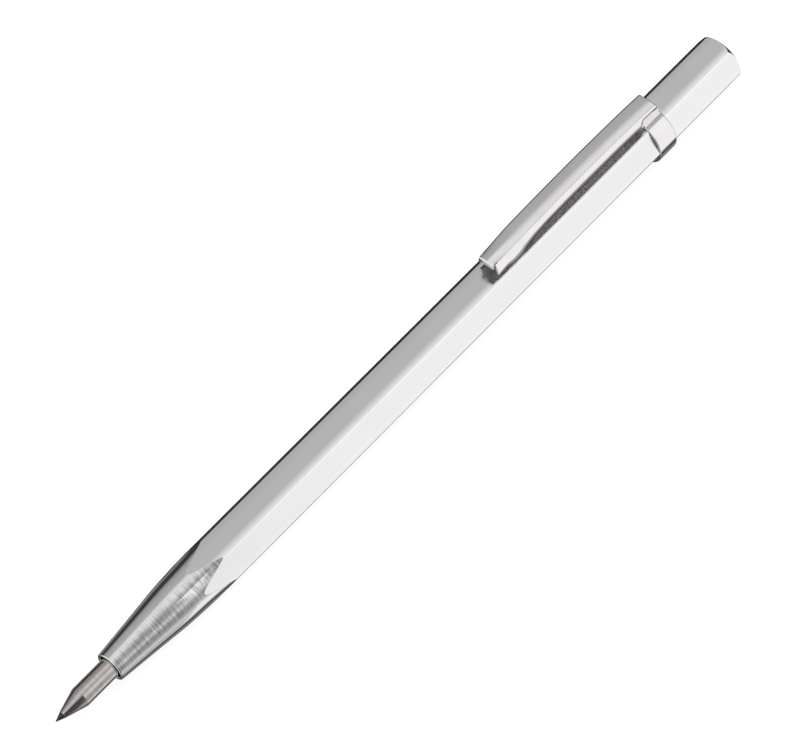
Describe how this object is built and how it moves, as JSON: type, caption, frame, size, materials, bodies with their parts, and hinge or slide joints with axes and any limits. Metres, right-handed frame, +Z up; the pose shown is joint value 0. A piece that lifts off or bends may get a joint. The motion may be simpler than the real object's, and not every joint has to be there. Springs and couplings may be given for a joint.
{
  "type": "engraving pen",
  "caption": "Slim engraving pen with a hexagonal aluminium handle, turned nose, steel shank with a dark hard point, sprung pocket clip and push-fit end cap.",
  "frame": {"origin": "middle of the pen's length and width, at the height of the lowest line of the clip's round band", "axes": "+X along the pen from the point to the end cap, +Z up through the clip"},
  "size_m": [0.1354, 0.0084, 0.0115],
  "materials": {
    "handle_aluminium": "polished flats, fine turning marks on the nose",
    "cap_aluminium": "polished",
    "ring_rubber": "matt",
    "clip_chrome": "bright plated",
    "shank_steel": "ground",
    "point_hard_metal": "ground, dark",
    "braze_metal": "dull",
    "collet_brass": "turned",
    "plug_steel": "turned"
  },
  "bodies": {
    "handle": {"barrel": "handle_aluminium", "clip_band": "clip_chrome", "collet": "collet_brass", "stop_plug": "plug_steel"},
    "clip": {"clip_arm": "clip_chrome"},
    "tip": {"tip_shank": "shank_steel", "hard_point": "point_hard_metal", "point_braze": "braze_metal"},
    "cap": {"end_cap": "cap_aluminium", "grip_ring": "ring_rubber"}
  },
  "joints": [
    {"name": "clip_flex", "type": "hinge", "parent": "handle", "child": "clip", "pos_m": [0.04868, 0, 0.01125], "axis": [0, 1, 0], "range_deg": [0, 4], "stiffness_Nm_per_rad": 0.8, "springref_deg": -0.57},
    {"name": "tip_draw", "type": "slide", "parent": "handle", "child": "tip", "axis": [-1, 0, 0], "range_m": [0, 0.018]},
    {"name": "cap_pull", "type": "slide", "parent": "handle", "child": "cap", "axis": [1, 0, 0], "range_m": [0, 0.01]}
  ]
}
